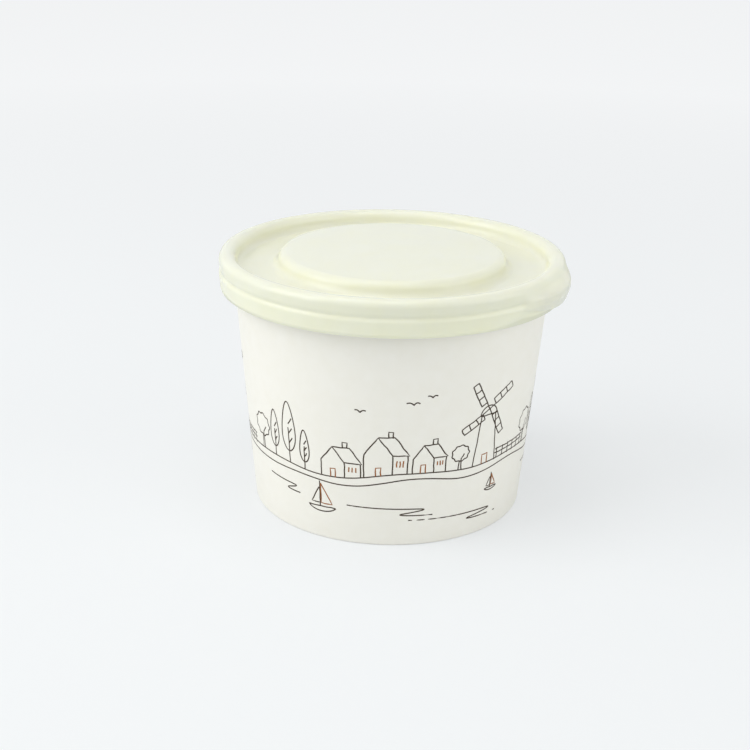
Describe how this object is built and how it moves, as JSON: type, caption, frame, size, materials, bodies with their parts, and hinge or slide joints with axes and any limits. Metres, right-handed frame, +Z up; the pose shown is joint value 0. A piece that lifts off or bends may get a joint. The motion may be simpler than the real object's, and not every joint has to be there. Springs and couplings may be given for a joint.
{
  "type": "paper soup bowl",
  "caption": "Round white paper soup bowl with a gently tapered wall, rolled rim, crimped recessed foot and a translucent press-on plastic lid with a stacking groove and lift tab.",
  "frame": {"origin": "centre of the foot's resting ring, on the table plane", "axes": "+Z up through the lid, -Y the side that faces the camera in the picture, +X to the right in the picture"},
  "size_m": [0.1013, 0.1006, 0.0754],
  "materials": {
    "coated_board": "satin",
    "lid_plastic": "satin"
  },
  "bodies": {
    "bowl": {"sidewall": "coated_board", "bottom_disc": "coated_board"},
    "lid": {"lid": "lid_plastic"}
  },
  "joints": [
    {"name": "lid_lift", "type": "slide", "parent": "bowl", "child": "lid", "axis": [0, 0, 1], "range_m": [0, 0.04]}
  ]
}
